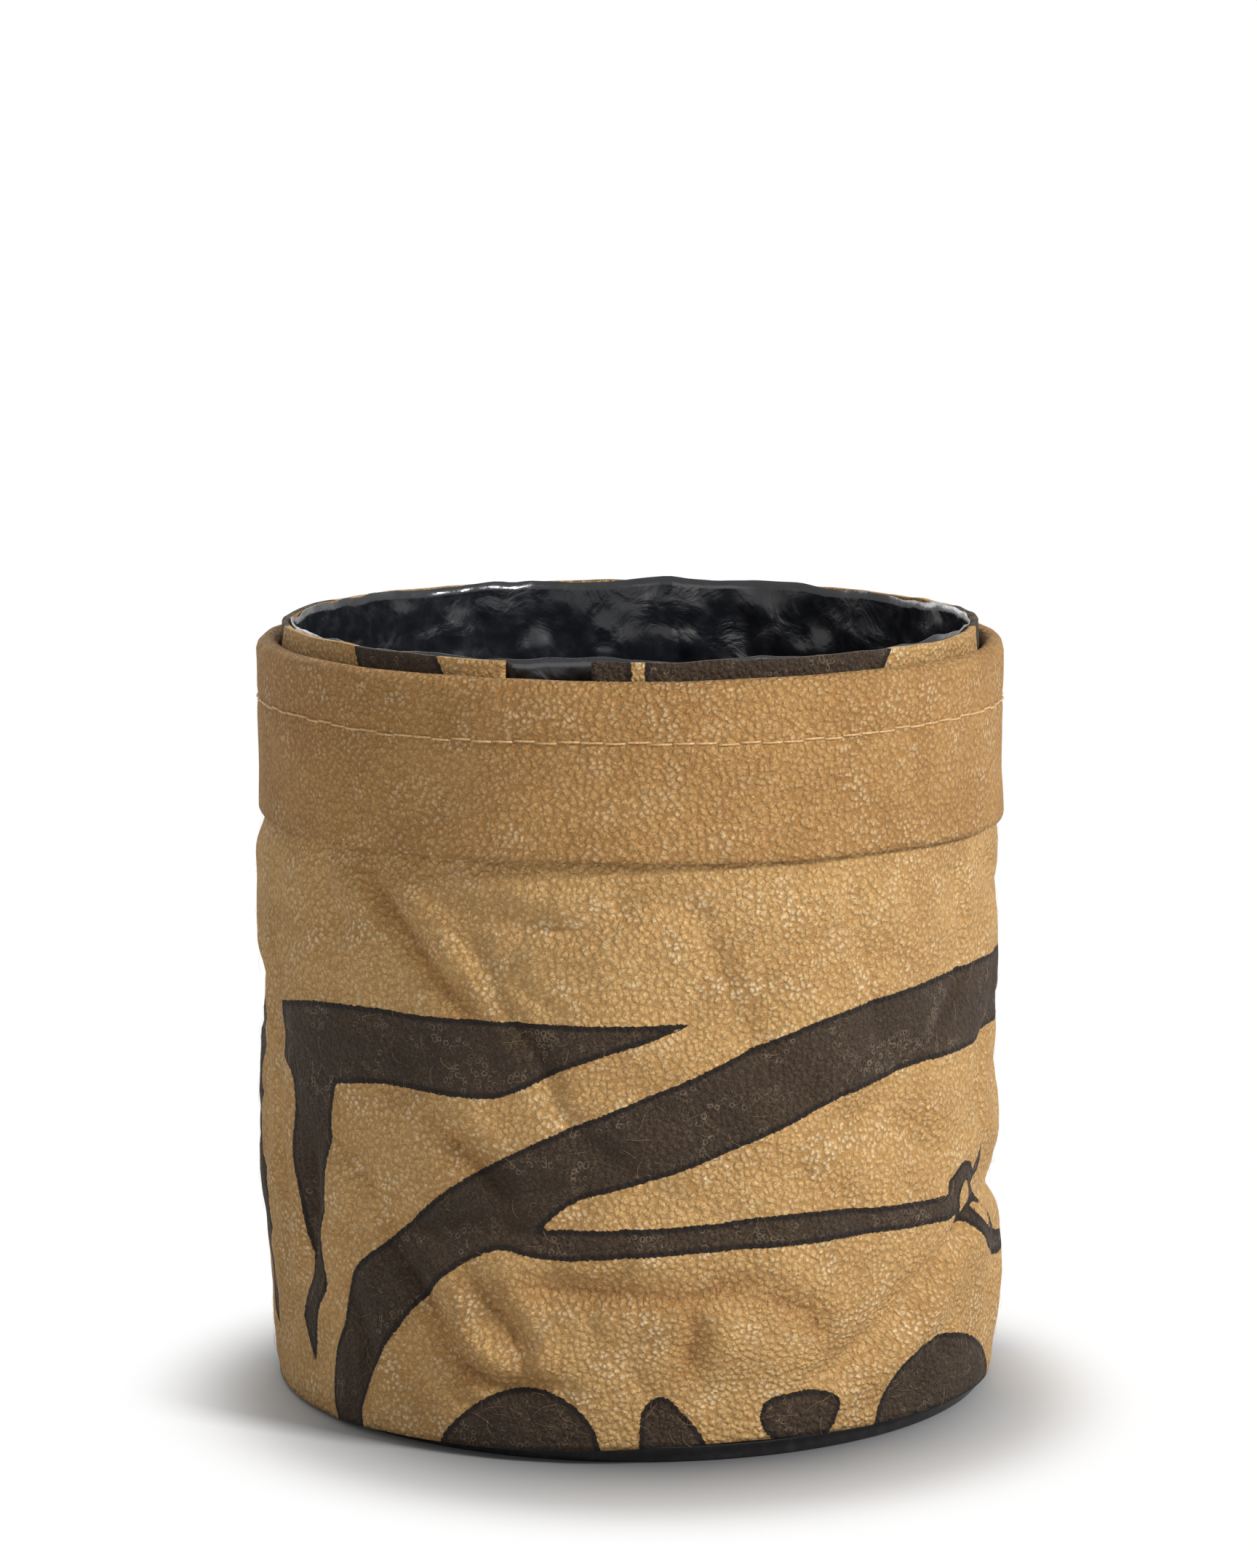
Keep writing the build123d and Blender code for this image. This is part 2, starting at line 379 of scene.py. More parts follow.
def keep_flat(cloth, flat):
    """Keep each point's flat place, in metres, as the UV map that the patterns follow."""
    layer = cloth.loops.layers.uv.new("flat")
    cloth.verts.index_update()
    for face in cloth.faces:
        for loop in face.loops:
            loop[layer].uv = flat[loop.vert.index] * MM


def place_vertices(cloth, points):
    """Move every vertex to its place, given in millimetres."""
    for vertex, point in zip(cloth.verts, points):
        vertex.co = Vector(point) * MM


def on_tube(along, up, radius):
    """Points round the bag's axis. along is measured from the front, positive to the right."""
    angle = along / WALL_R
    return np.stack([radius * np.sin(angle), -radius * np.cos(angle), up], axis=1)


def as_piece(shape, name, materials, body):
    """Turn a bmesh into a smooth piece that rides on a body."""
    mesh = bpy.data.meshes.new(name)
    shape.to_mesh(mesh)
    shape.free()
    for material in materials:
        mesh.materials.append(material)
    mesh.polygons.foreach_set("use_smooth", [True] * len(mesh.polygons))
    piece = bpy.data.objects.new(name, mesh)
    bpy.context.scene.collection.objects.link(piece)
    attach(piece, body)
    print(f"{name}: {len(mesh.polygons)} faces")
    return piece


def face_out(cloth):
    """Make a sheet's normals point away from the inside of the bag, judged at its lowest face."""
    cloth.normal_update()
    lowest = min(cloth.faces, key=lambda face: face.calc_center_median().z)
    centre = lowest.calc_center_median()
    if lowest.normal.dot(Vector((centre.x, centre.y, -0.02))) < 0:
        bmesh.ops.reverse_faces(cloth, faces=cloth.faces)


def thicken(piece, thickness, inside_slot=0):
    """Give a sheet its thickness, inwards from its face."""
    solid = piece.modifiers.new("thickness", "SOLIDIFY")
    solid.thickness = thickness * MM
    solid.offset = -1
    solid.use_even_offset = True
    solid.material_offset = inside_slot


def keep_on_mesh(piece, name, values):
    """Keep a number for each vertex as an attribute that the shader can read."""
    attribute = piece.data.attributes.new(name, "FLOAT", "POINT")
    attribute.data.foreach_set("value", np.asarray(values, np.float32))


# %% [markdown]
# Slump
#
# Felt that holds soil doesn't stay a cylinder. It bulges and dents in waves some centimetres
# long, and it creases where it has been squashed. The waves are smooth noise read on the
# cylinder, so they meet at the seam. Each crease is a line on the flat cloth with a valley along
# it and a soft lip beside it.

# %% Waves and creases
def wave(along, up, size, seed):
    """Smooth noise from -1 to 1 on the tube, with bumps about size millimetres apart."""
    angle = along / WALL_R
    shift = Vector((seed * 17.3, seed * 5.1, seed * 9.7))
    points = zip(WALL_R * np.sin(angle) / size, -WALL_R * np.cos(angle) / size, up / size)
    return np.array([noise.noise(Vector(point) + shift) for point in points])


def beside(turn, middle, width):
    """1 at one angle of the bag, fading smoothly on both sides of it. Angles are in radians."""
    return np.exp(-(((turn - middle + pi) % (2 * pi) - pi) / width) ** 2)


def to_line(along, up, line):
    """Distance from points to a line on the cloth, signed by side, and the share along the line."""
    middle = sum(point[0] for point in line) / len(line)
    x = (along - middle + ROUND / 2) % ROUND - ROUND / 2 + middle
    best = np.full(len(x), np.inf)
    side = np.zeros(len(x))
    share = np.zeros(len(x))
    lengths = [hypot(b[0] - a[0], b[1] - a[1]) for a, b in zip(line, line[1:])]
    done = 0.0
    for (a, b), length in zip(zip(line, line[1:]), lengths):
        ax, ay = (b[0] - a[0]) / length, (b[1] - a[1]) / length
        t = np.clip((x - a[0]) * ax + (up - a[1]) * ay, 0, length)
        dx, dy = x - a[0] - t * ax, up - a[1] - t * ay
        far = np.hypot(dx, dy)
        near = far < best
        best = np.where(near, far, best)
        side = np.where(near, np.sign(ax * dy - ay * dx), side)
        share = np.where(near, (done + t) / sum(lengths), share)
        done += length
    return best, side, share


def crease(along, up, line, depth, width, lip):
    """A valley along a line that fades at both ends, with a soft ridge on its left side."""
    far, side, share = to_line(along, up, line)
    fade = np.sqrt(np.clip(np.sin(pi * np.clip(share, 0.02, 0.98)), 0, 1))
    reach = np.where(side > 0, 1.35, 0.8) * width
    valley = -np.exp(-((far / reach) ** 1.5))
    ridge = lip * np.exp(-(((far * side - 2.2 * width) / (1.5 * width)) ** 2))
    return depth * fade * (valley + ridge)


CREASES = [
    # line on the cloth, depth, width, lip
    ([(84, 47.5), (100, 42), (116, 39), (128, 38.5), (146, 41)], 3.4, 4.6, 0.25),
    ([(92, 43), (74, 35), (60, 26), (50, 20), (36, 14)], 2.6, 3.0, 0.8),
    ([(112, 36), (100, 25), (92, 14)], 0.9, 3.4, 0.5),
    ([(-58, 116), (-46, 102), (-38, 93), (-30, 86)], 2.2, 2.7, 0.7),
    ([(-74, 116), (-66, 105), (-64, 94)], 1.6, 3.6, 0.5),
    ([(-50, 117), (-40, 110), (-20, 106)], 0.8, 3.4, 0.5),
    ([(-41, 23), (-34, 18), (-26, 14.5), (-14, 15)], 2.1, 2.1, 0.9),
    ([(-52, 42), (-43, 31), (-37, 20)], 1.9, 2.6, 0.8),
    ([(-33, 36), (-24, 26), (-20, 15)], 1.5, 2.4, 0.6),
    ([(-25, 35), (-8, 34.5), (12, 33.5), (26, 36)], 1.8, 2.8, 0.9),
    ([(12, 33), (12.5, 26), (11, 18)], 1.5, 2.4, 0.7),
    ([(-40, 66), (-30, 58), (-24, 50)], 1.4, 2.6, 0.6),
    ([(-92, 78), (-94, 58), (-90, 38), (-92, 20)], 1.6, 3.2, 0.7),
    ([(-106, 100), (-103, 70), (-106, 40)], 1.4, 4.0, 0.5),
    ([(-78, 60), (-75, 44), (-76, 30)], 1.0, 3.0, 0.6),
    ([(-62, 30), (-58, 18), (-60, 6)], 1.2, 2.4, 0.6),
    ([(-4, 78), (8, 70), (22, 66)], 0.8, 3.4, 0.6),
    ([(30, 112), (44, 100), (62, 96)], 0.7, 4.4, 0.5),
    ([(30, 56), (44, 50), (52, 42)], 1.2, 3.0, 0.6),
    ([(60, 62), (70, 56), (84, 54)], 0.7, 3.0, 0.5),
    ([(24, 34), (36, 29), (40, 22)], 1.3, 2.6, 0.6),
    ([(170, 104), (186, 86), (190, 66)], 1.4, 4.0, 0.6),
    ([(150, 60), (176, 50), (204, 54)], 1.9, 5.0, 0.4),
    ([(204, 34), (226, 28), (244, 33)], 1.4, 2.9, 0.6),
    ([(-220, 112), (-204, 92), (-206, 72)], 1.3, 4.2, 0.5),
    ([(-196, 52), (-172, 42), (-150, 46)], 1.8, 4.6, 0.5),
    ([(-150, 100), (-140, 78), (-143, 56)], 1.2, 3.6, 0.6),
    ([(-176, 26), (-158, 18), (-138, 22)], 1.2, 2.7, 0.7),
    ([(-128, 54), (-122, 34), (-126, 14)], 1.1, 3.0, 0.6),
]


WAVES = ((1.1, 62, 1), (1.1, 25, 2), (0.50, 10, 3), (0.14, 4.5, 4))  # height, size, seed
WRINKLES = ((1.5, 30, 5), (0.9, 15, 6))  # depth, size, seed


def smooth_step(value, low, high):
    """0 below low, 1 above high and smooth between."""
    t = np.clip((value - low) / (high - low), 0, 1)
    return t * t * (3 - 2 * t)


def slump(along, up):
    """How far the wall's felt stands out from its plain radius."""
    out = np.zeros(len(along))
    for depth, size, seed in WAVES:
        out += depth * wave(along, up, size, seed)
    for depth, size, seed in WRINKLES:
        ridge = np.clip(1 - 4.5 * np.abs(wave(along, up, size, seed)), 0, 1) ** 1.5
        out -= depth * ridge * smooth_step(wave(along, up, 2 * size, seed + 20), -0.25, 0.35)
    for line, depth, width, lip in CREASES:
        out += crease(along, up, line, depth, width, lip)
    turn = along / WALL_R
    # the left side leans out at the top and in at the foot, and the right side has a low belly
    lean = 1.2 * smooth_step(up, 45, 95) - 1.2 * (1 - smooth_step(up, 8, 46))
    out += beside(turn, -1.5, 0.8) * lean
    return out + 0.8 * beside(turn, 1.35, 0.8) * np.exp(-(((up - 22) / 16) ** 2))


FOLD_REACH = 6.0  # creases darken the felt no further than this from their line
SHARP_CREASE = 3.0  # wider creases than this are soft and get no painted shade


def fold_distance(along, up):
    """Distance to the nearest sharp crease, growing towards the crease's two ends."""
    nearest = np.full(len(along), FOLD_REACH)
    for line, _, width, _ in CREASES:
        if width < SHARP_CREASE:
            far, _, share = to_line(along, up, line)
            nearest = np.minimum(nearest, far + 1.2 * np.abs(2 * share - 1) ** 4)
    return nearest


# %% [markdown]
# The print
#
# The strokes are flat shapes with straight sides, round bellies and sharp tips. Each is a short
# list of points on the flat cloth. A point with a third value is a sharp corner, and the line
# bends smoothly through the others. A height of -3 is below the cut foot, so the shape runs off
# the cloth. The attribute that the shader reads is the distance inside the nearest outline.

# %% Outlines of the print
SHARP = True
INK_REACH = 8.0  # the mesh holds the ink's distance up to this far from an outline
OUTLINE_PARTS = 8  # short lines from one point of an outline to the next
PRINT = [
    # wedge with a leg
    [
        (-86.5, 83.5, SHARP), (-66, 86.5), (-36, 87), (12.3, 87.2, SHARP), (4.5, 84.2), (-11, 79),
        (-23.5, 73), (-30, 71.8), (-53, 71.6), (-66.5, 70, SHARP), (-69, 58), (-70, 47),
        (-71.5, 39.5), (-70.8, 31), (-71.2, 26.5, SHARP), (-75.5, 21), (-79, 8.5, SHARP),
        (-82, 19.5, SHARP), (-80, 25), (-76.6, 29, SHARP), (-78.5, 38.5), (-81, 46), (-83.5, 54),
        (-81.4, 63.5), (-82.6, 69.2), (-88, 71.6, SHARP),
    ],
    # long sweep with its lower branch
    [
        (143, 84, SHARP), (122, 90), (99, 91), (76, 90.7), (57, 89.2), (38.5, 86.7), (26, 82.6),
        (15, 78),
        (-8.5, 68.3), (-22, 62), (-37, 53), (-50.5, 41.8), (-59.8, 34), (-65, 22), (-69, 13),
        (-69, -3, SHARP), (-60.5, -3, SHARP), (-59, 7), (-52.3, 20), (-39.5, 34), (-31.5, 39.8),
        (-25.5, 42), (-20, 41), (-13, 40.6), (-7, 41), (15, 42.3), (43, 42.7), (60, 42),
        (77, 41, SHARP), (75.5, 46.2, SHARP),
        (53, 47.5), (39, 48.7), (26, 48.6), (15, 47.6), (-11, 46.6), (-18, 46.2, SHARP), (-14, 50),
        (-8.5, 53), (5, 56.6), (18, 61.2), (32.5, 66.4), (45.5, 70.6), (64, 73.7), (85, 74.2),
        (104, 75), (122, 76),
    ],
    # knot at the end of the branch
    [
        (74, 45), (77, 49.4), (81.5, 51.3), (86.5, 50.2), (90, 47.6, SHARP), (95.5, 52.5, SHARP),
        (95, 47), (91.5, 44), (96, 38.5), (106, 32), (118, 29, SHARP), (106, 26.5), (93, 32),
        (84, 38.4), (78, 36.8, SHARP), (79.6, 40), (76, 42),
    ],
    # half-rounds and other shapes along the foot
    [
        (-39.8, -3, SHARP), (-39, 3), (-32, 10.3), (-25, 14), (-17.5, 14.6), (-11, 12), (-7.4, 8),
        (-5.8, 3), (-5.6, -3, SHARP),
    ],
    [
        (1.6, -3, SHARP), (1.9, 9.9), (4.2, 13.4), (6.6, 14), (9.4, 11.5), (14, 5.8),
        (17.5, -3, SHARP),
    ],
    [
        (27, 12), (32.7, 13), (38.4, 12.8), (42.7, 10.8), (42.6, 7.6), (40.4, 3.8), (34, 3),
        (28, 4.4), (25.6, 8.4),
    ],
    [
        (51, -3, SHARP), (52.5, 5), (55.6, 12.5), (61.5, 17), (71, 18.2), (83, 15.5), (94.5, 9.3),
        (101, 3), (103, -3, SHARP),
    ],
    # the side and back carry more of the same strokes
    [
        (-114, 96, SHARP), (-110, 74), (-109, 52), (-104, 30), (-101, 8, SHARP), (-109, 20),
        (-118, 40), (-121, 62), (-119, 80),
    ],
    [
        (-140, 22), (-144, 38), (-155, 57), (-174, 76), (-196, 90), (-224, 98, SHARP), (-206, 80),
        (-187, 63), (-171, 45), (-159, 28), (-153, 17), (-145, 14),
    ],
    [
        (-230, 60), (-214, 59), (-196, 48), (-182, 32), (-176, 14, SHARP), (-186, 22), (-202, 34),
        (-220, 42), (-232, 49),
    ],
    [(-118, 104, SHARP), (-140, 108), (-166, 104), (-182, 96, SHARP), (-162, 98), (-140, 99)],
    [(-136, -3, SHARP), (-134, 8), (-126, 13), (-118, 9), (-115, -3, SHARP)],
    [(-214, -3, SHARP), (-210, 12), (-199, 17), (-188, 11), (-186, -3, SHARP)],
    [
        (228, 100, SHARP), (206, 96), (184, 84), (168, 66), (160, 44), (158, 22, SHARP), (170, 38),
        (182, 56), (198, 72), (216, 82), (234, 86, SHARP),
    ],
    [(172, -3, SHARP), (175, 11), (186, 17), (199, 12), (206, -3, SHARP)],
    [
        (215, 37), (209, 29), (208, 19), (214, 10), (224, 8), (233, 13), (236, 23), (232, 33),
        (224, 38),
    ],
    [(120, 16), (128, 20), (138, 17), (142, 8), (134, 2), (124, 4)],
]
BARE = [
    [(84, 47), (80.8, 44.4), (82.3, 40.2, SHARP), (87, 43.8)],
    [(86.4, 41.9, SHARP), (92, 37.2), (99, 33, SHARP), (93.6, 39.6)],
]


def smooth_outline(points):
    """The outline's points with a smooth line through those that aren't sharp corners."""
    spots = [np.array(point[:2], float) for point in points]
    sharp = [len(point) > 2 for point in points]
    line = []
    for index, spot in enumerate(spots):
        ahead = (index + 1) % len(spots)
        before, after = spots[index - 1], spots[(index + 2) % len(spots)]
        reach = spots[ahead] - spot
        start = reach if sharp[index] else (spots[ahead] - before) / 2
        end = reach if sharp[ahead] else (after - spot) / 2
        for part in range(OUTLINE_PARTS):
            t = part / OUTLINE_PARTS
            line.append(
                (2 * t**3 - 3 * t**2 + 1) * spot
                + (t**3 - 2 * t**2 + t) * start
                + (3 * t**2 - 2 * t**3) * spots[ahead]
                + (t**3 - t**2) * end
            )
    return np.array(line)


def inside_by(x, y, points):
    """Distance inside an outline, negative outside it and held at one value far from it."""
    line = smooth_outline(points)
    low, high = line.min(axis=0) - INK_REACH, line.max(axis=0) + INK_REACH
    close = (x > low[0]) & (x < high[0]) & (y > low[1]) & (y < high[1])
    inside = np.full(len(x), -INK_REACH)
    inside[close] = inside_outline(x[close], y[close], line)
    return inside


def inside_outline(x, y, line):
    """Distance inside a closed line of points."""
    following = np.roll(line, -1, axis=0)
    best = np.full(len(x), 1e9)
    inside = np.zeros(len(x), bool)
    for (ax, ay), (bx, by) in zip(line, following):
        ex, ey = bx - ax, by - ay
        t = np.clip(((x - ax) * ex + (y - ay) * ey) / max(ex * ex + ey * ey, 1e-9), 0, 1)
        best = np.minimum(best, np.hypot(x - ax - t * ex, y - ay - t * ey))
        crosses = (ay > y) != (by > y)
        with np.errstate(divide="ignore", invalid="ignore"):
            inside ^= crosses & (x < ex * (y - ay) / (by - ay) + ax)
    return np.where(inside, best, -best)


def ink_by(x, y, shapes, bare=()):
    """Distance inside the nearest of some inked shapes, less the bare shapes left in them."""
    ink = np.full(len(x), -INK_REACH)
    for points in shapes:
        ink = np.maximum(ink, inside_by(x, y, points))
    for points in bare:
        ink = np.minimum(ink, -inside_by(x, y, points))
    return np.clip(ink, -INK_REACH, INK_REACH)


def ink_on_wall(along, up):
    """Distance inside the print at each point of the wall."""
    return ink_by((along + ROUND / 2) % ROUND - ROUND / 2, up, PRINT, BARE)


# %% [markdown]
# The wall
#
# One panel goes once round the bag, and its two ends lap at the side seam. The inner end is
# rolled one ply deeper, so the outer end stands over it as a real cut edge. The foot is a cut
# edge too: it hangs round the dish, lowest at the left, and a little higher at the front right.

# %% Wall panel
CLOTH_STEP = 1.25  # mesh size of the cut cloth
CLEAR_OF_DISH = 0.4
FOOT_LIFT = 34.0  # the foot line's rise and fall has died out at this height


def foot_line(along):
    """Height of the wall's cut lower edge above its lowest point."""
    turn = along / WALL_R
    return (
        2.8 * beside(turn, 0.35, 1.0)
        + 0.5 * np.sin(2.0 * turn + 0.6)
        + 0.25 * np.sin(7.0 * turn)
    )


def wall_radius(along, up):
    """Radius of the wall's outer face: it necks in under the band, and slumps where it is free."""
    neck = smooth_step(up, BAND_BOTTOM - 7, BAND_BOTTOM + 1)
    plain = WALL_R - neck * (WALL_R - (BAND_R - FELT - PLY_GAP))
    free = 1 - smooth_step(up, BAND_BOTTOM - 9, BAND_BOTTOM - 1)
    foot = 0.25 + 0.75 * smooth_step(up, 2, 13)
    curl = -0.7 * (1 - smooth_step(up, 0.6, 5.0))
    turn = along / WALL_R
    taper = -1.4 * beside(turn, -1.4, 0.8) * (1 - smooth_step(up, 1, 14))
    slumped = plain + free * foot * slump(along, up) + curl + taper
    return np.maximum(slumped, DISH_R + FELT + CLEAR_OF_DISH)


def make_wall():
    start = SEAM_U - ROUND - LAP
    height = wall_high[2] - wall_low[2]
    cloth, flat = cut_cloth(ROUND + LAP, height, CLOTH_STEP)
    along = start + flat[:, 0]
    lift = np.clip(foot_line(along), 0, None) * (1 - smooth_step(flat[:, 1], 0, FOOT_LIFT))
    up = wall_low[2] + flat[:, 1] + lift
    tucked = 1 - smooth_step(flat[:, 0], LAP, LAP + 9)
    radius = wall_radius(along, up) - tucked * (FELT + PLY_GAP)
    place_vertices(cloth, on_tube(along, up, radius))
    face_out(cloth)
    felts = [printed_felt, plain_felt]
    piece = as_piece(cloth, "wall_panel_felt", felts, "bag")
    keep_on_mesh(piece, "ink", ink_on_wall(along, up))
    keep_on_mesh(piece, "fold", fold_distance(along, up))
    thicken(piece, FELT, 1)
    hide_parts("wall_panel")


make_wall()


# %% [markdown]
# The rim band
#
# The band is plain felt folded lengthwise over the rim. Its long leg hangs outside with a free
# lower edge that stands a little off the wall, and its short leg is inside. A row of stitches
# holds both legs, and the felt sinks slightly along it. Its flat length goes up one leg, over the
# fold and down the other.

# %% Rim band
def band_wave(along, up):
    """How far the band's outer leg stands out from its plain radius."""
    leg = smooth_step(up, BAND_BOTTOM, BAND_BOTTOM + 20)
    out = (0.75 - 0.4 * leg) * wave(along, up, 46, 11) + 0.35 * wave(along, up, 15, 12)
    out += 0.10 * wave(along, up, 5, 13)
    flare = 0.35 * (1 - smooth_step(up, BAND_BOTTOM, BAND_BOTTOM + 9))
    sink = -0.32 * np.exp(-(((up - RIM_THREAD_Z) / 1.3) ** 2))
    knots = 0.5 + 0.5 * np.cos(2 * pi * (along - SEAM_U) / RIM_STITCH)
    return out + flare + sink * (0.7 + 0.6 * knots)


def band_sag(along):
    """Height change of the band's lower edge, which isn't quite level."""
    turn = along / WALL_R
    return -0.5 * np.sin(turn) + 0.25 * np.sin(3 * turn + 1) + 0.15 * np.sin(8 * turn + 2)


RIM_STITCHES = round(2 * pi * BAND_R / STITCH_PITCH)
RIM_STITCH = ROUND / RIM_STITCHES
FOLD_R = FELT + PLY_GAP + FELT / 2  # outer face of the fold
BAND_TUCK = 19.0  # inner leg, crest to lower edge


def band_section(run):
    """Radius and height of the band's outer face, by the distance along it from its lower edge."""
    leg = CREST - FOLD_R - BAND_BOTTOM
    turn = np.clip((run - leg) / FOLD_R, 0, pi)
    beyond = np.clip(run - leg - pi * FOLD_R, 0, None)
    radius = BAND_R - FOLD_R + FOLD_R * np.cos(turn)
    height = BAND_BOTTOM + np.minimum(run, leg) + FOLD_R * np.sin(turn) - beyond
    return radius, height, turn


def make_band():
    length = (CREST - FOLD_R - BAND_BOTTOM) + pi * FOLD_R + (BAND_TUCK - FOLD_R)
    cloth, flat = cut_cloth(ROUND, length, CLOTH_STEP)
    along = flat[:, 0] - ROUND / 2
    radius, up, turn = band_section(flat[:, 1])
    outside = 1 - smooth_step(turn, 0, pi / 2)
    crest_wave = 0.45 * wave(along, 0 * up, 34, 14) + 0.2 * wave(along, 0 * up, 11, 15)
    hang = 1 - smooth_step(flat[:, 1], 0, 24)
    up = up + band_sag(along) * hang + crest_wave * smooth_step(up, CREST - 9, CREST)
    radius = radius + outside * band_wave(along, up)
    radius = radius + (1 - outside) * 0.25 * wave(along, up, 18, 16)
    place_vertices(cloth, on_tube(along, up, radius))
    bmesh.ops.remove_doubles(cloth, verts=cloth.verts, dist=0.02 * MM)
    face_out(cloth)
    piece = as_piece(cloth, "rim_band_felt", [plain_felt], "bag")
    thicken(piece, FELT)
    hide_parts("rim_band")


make_band()


# %% [markdown]
# The facing inside the rim
#
# A strip of the printed felt stands inside the rim, a few millimetres above the band. Its two cut
# ends leave a gap near the middle of the front, where the film shows.

# %% Facing
FACING_START = radians(-6.0) * WALL_R  # one cut end, measured round from the front
FACING_GAP = radians(14.0) * WALL_R
FACING_PRINT = [
    [(-3, -3, SHARP), (8.2, -3, SHARP), (8.6, 12), (7.9, 30, SHARP), (-3, 30, SHARP)],
    [
        (10.6, 30, SHARP), (11.4, 14), (16, 4), (26, -3, SHARP), (58, -3, SHARP), (60, 12),
        (70, 30, SHARP),
    ],
    [
        (110, 30, SHARP), (118, 12), (140, 6), (150, -3, SHARP), (168, -3, SHARP), (160, 14),
        (146, 30, SHARP),
    ],
    [(212, -3, SHARP), (220, 10), (246, 16), (262, 30, SHARP), (222, 30, SHARP), (206, 14)],
    [(330, 30, SHARP), (322, 14), (330, -3, SHARP), (372, -3, SHARP), (366, 12), (380, 30, SHARP)],
    [(412, -3, SHARP), (420, 12), (416, 30, SHARP), (438, 30, SHARP), (446, 12), (440, -3, SHARP)],
]


def make_facing():
    width = ROUND - FACING_GAP
    height = facing_high[2] - facing_low[2]
    cloth, flat = cut_cloth(width, height, CLOTH_STEP)
    along = FACING_START + flat[:, 0]
    up = facing_low[2] + flat[:, 1]
    top = smooth_step(up, CREST - 6, facing_high[2])
    up = up + top * (0.5 * wave(along, 0 * up, 21, 21) + 0.25 * wave(along, 0 * up, 7, 22) - 0.2)
    radius = FACING_R + top * 0.35 * wave(along, up, 16, 23) - 0.25 * top
    place_vertices(cloth, on_tube(along, up, radius))
    face_out(cloth)
    felts = [printed_felt, plain_felt]
    piece = as_piece(cloth, "rim_facing_felt", felts, "bag")
    keep_on_mesh(piece, "ink", ink_by(flat[:, 0], flat[:, 1], FACING_PRINT))
    keep_on_mesh(piece, "fold", np.full(len(along), FOLD_REACH))
    thicken(piece, FELT, 1)
    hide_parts("rim_facing")


make_facing()


# %% [markdown]
# The base
#
# A round of felt closes the bottom, with its edge turned up inside the wall. It starts as one
# circle, spun from a line that runs from the middle out and up the turned edge.

# %% Base
def spin_line(points, steps):
    """Spin a line of (radius, height) points, in millimetres, into a closed ring of faces."""
    shape = bmesh.new()
    verts = [shape.verts.new(Vector((radius, 0, height)) * MM) for radius, height in points]
    edges = [shape.edges.new(pair) for pair in zip(verts, verts[1:])]
    bmesh.ops.spin(
        shape,
        geom=verts + edges,
        cent=(0, 0, 0),
        axis=(0, 0, 1),
        angle=2 * pi,
        steps=steps,
        use_merge=True,
        use_duplicate=False,
    )
    bmesh.ops.remove_doubles(shape, verts=shape.verts, dist=0.01 * MM)
    return shape


def arc(centre, radius, start, end, parts):
    """Points of an arc in degrees about a (radius, height) centre."""
    return [
        (
            centre[0] + radius * cos(radians(start + (end - start) * part / parts)),
            centre[1] + radius * sin(radians(start + (end - start) * part / parts)),
        )
        for part in range(parts + 1)
    ]


BASE_BEND = 2.4 + FELT / 2  # outer face of the bend where the base turns up
BASE_TURN_UP = 10.0


def make_base():
    outside = base_high[0]
    bend = BASE_BEND
    floor = [(radius, base_low[2]) for radius in (0, 8, 18, 30, 42, 54, 63)]
    turn = arc((outside - bend, base_low[2] + bend), bend, -90, 0, 6)
    rise = [(outside, base_low[2] + height) for height in (5.0, 7.0, 8.6, BASE_TURN_UP)]
    cloth = spin_line(floor + turn + rise, 144)
    spots = np.array([vertex.co for vertex in cloth.verts]) / MM
    radius = np.hypot(spots[:, 0], spots[:, 1])
    along = np.arctan2(spots[:, 0], -spots[:, 1]) * WALL_R
    room = wall_radius(along, spots[:, 2]) - FELT - PLY_GAP
    unrolled = 1 + (spots[:, 2] - base_low[2]) / np.maximum(radius, 1)
    keep_flat(cloth, spots[:, :2] * unrolled[:, None])
    for vertex, far, limit in zip(cloth.verts, radius, room):
        if far > outside - bend:
            vertex.co.xy *= min(1.0, limit / outside)
        else:
            vertex.co.z += (0.12 + 0.25 * noise.noise(vertex.co / (19 * MM))) * MM
    face_out(cloth)
    piece = as_piece(cloth, "base_felt", [plain_felt], "bag")
    thicken(piece, FELT)
    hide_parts("base_disc")


make_base()


# %% [markdown]
# The film liner
#
# The liner is a bag of black film with a round bottom. Film can't drape smoothly: it breaks into
# flat facets with sharp creases between them. A ridged noise, the absolute value of smooth noise,
# gives those creases, and the top edge stands up unevenly above the rim.

# %% Film liner
def ridged(x, y, z, size, seed):
    """Noise from 0 to 1 with sharp creases at 0."""
    return abs(noise.noise(Vector((x / size + seed, y / size, z / size)))) * 2


LINER_CORNER = 5.0
LINER_ROWS = 74  # rows of faces up the liner's side
FILM = 0.15  # thickness
RAGGED = 12  # the film's top edge is uneven over this height


